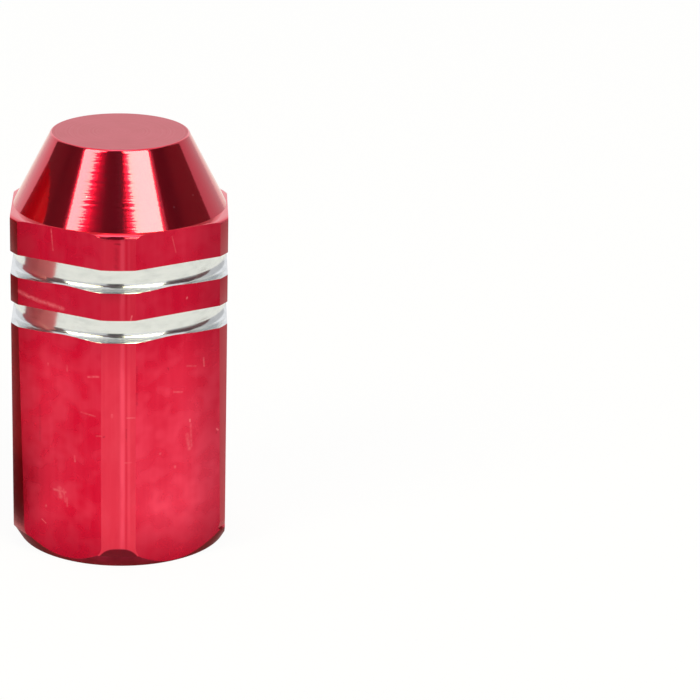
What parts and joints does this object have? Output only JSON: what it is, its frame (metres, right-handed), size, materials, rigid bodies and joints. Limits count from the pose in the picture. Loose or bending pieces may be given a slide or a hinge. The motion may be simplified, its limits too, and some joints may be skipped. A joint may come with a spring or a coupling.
{
  "type": "tyre valve cap",
  "caption": "Hexagonal metal dust cap with a coned end and turned grooves, threaded inside and sealed by a rubber ring, for a car tyre valve.",
  "frame": {"origin": "centre of the open mouth's rim, in the plane that the cap stands on", "axes": "+Z along the cap's axis from the mouth to the coned end, +X square to one of the flats"},
  "size_m": [0.01, 0.0108, 0.0197],
  "materials": {
    "anodised_body": "red anodised over turned and drawn aluminium, with bright bare metal in the grooves",
    "rubber_seal": "moulded black rubber, matt"
  },
  "bodies": {
    "root": {"body": "anodised_body", "seal": "rubber_seal"}
  },
  "joints": []
}
